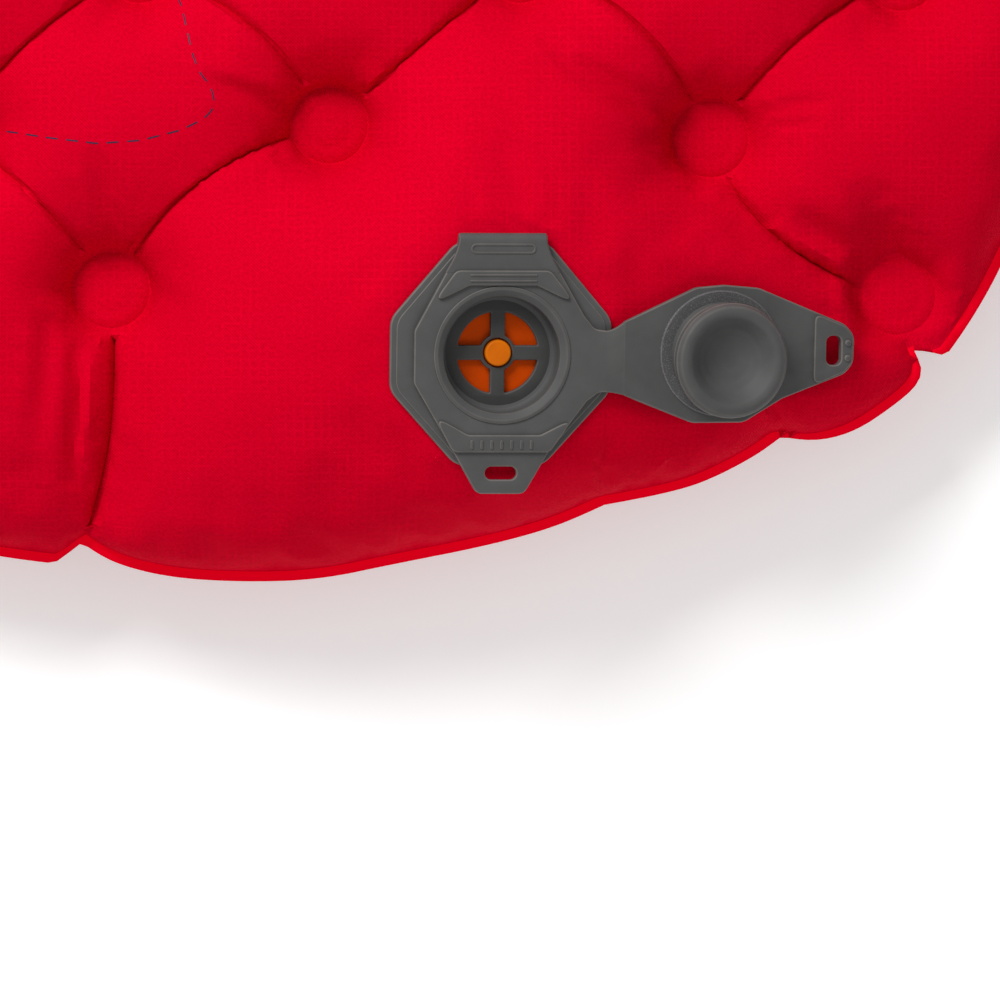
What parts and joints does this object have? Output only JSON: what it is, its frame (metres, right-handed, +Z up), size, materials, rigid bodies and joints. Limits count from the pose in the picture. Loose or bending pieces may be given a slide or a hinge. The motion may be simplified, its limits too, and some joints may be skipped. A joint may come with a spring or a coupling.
{
  "type": "inflatable camp pillow",
  "caption": "Oval quilted inflatable camp pillow of red ripstop fabric with a soft grey two-stage air valve: an open inflate cap on a strap, a deflate flap and an orange check valve.",
  "frame": {"origin": "centre of the outline on the floor", "axes": "+Z up out of the pillow's face, +X along its length, -Y towards the long edge that carries the valve"},
  "size_m": [0.4066, 0.3013, 0.0683],
  "materials": {
    "fabric_top": "coated ripstop, slight sheen",
    "fabric_bottom": "coated ripstop, slight sheen",
    "weld": "heat-welded, slight sheen",
    "valve_grey": "satin",
    "valve_dark": "satin",
    "port_tpu": "satin",
    "orange_silicone": "satin"
  },
  "bodies": {
    "pillow": {"top_panel": "fabric_top", "bottom_panel": "fabric_bottom", "perimeter_weld": "weld", "tuft_weld_01": "weld", "tuft_weld_02": "weld", "tuft_weld_03": "weld", "tuft_weld_04": "weld", "tuft_weld_05": "weld", "tuft_weld_06": "weld", "tuft_weld_07": "weld", "tuft_weld_08": "weld", "tuft_weld_09": "weld", "tuft_weld_10": "weld", "tuft_weld_11": "weld", "tuft_weld_12": "weld", "tuft_weld_13": "weld", "tuft_weld_14": "weld", "tuft_weld_15": "weld", "tuft_weld_16": "weld", "tuft_weld_17": "weld", "valve_base_plate": "valve_grey", "port_flange": "port_tpu"},
    "flap": {"deflate_flap": "valve_grey", "valve_cup": "valve_grey", "check_valve_seat": "valve_dark"},
    "check_valve": {"check_diaphragm": "orange_silicone", "check_stem": "orange_silicone"},
    "cap": {"inflate_cap_arm": "valve_grey", "inflate_plug": "valve_grey"}
  },
  "joints": [
    {"name": "deflate_hinge", "type": "hinge", "parent": "pillow", "child": "flap", "pos_m": [0.06069, -0.06518, 0.06438], "axis": [-0.9877, 0, 0.1564], "range_deg": [0, 110]},
    {"name": "cap_hinge", "type": "hinge", "parent": "flap", "child": "cap", "pos_m": [0.08891, -0.09442, 0.05971], "axis": [-0.0326, -0.996, -0.0831], "range_deg": [0, 187]},
    {"name": "release_press", "type": "slide", "parent": "flap", "child": "check_valve", "axis": [-0.1558, 0.0872, -0.9839], "range_m": [0, 0.0025], "stiffness_N_per_m": 200}
  ]
}
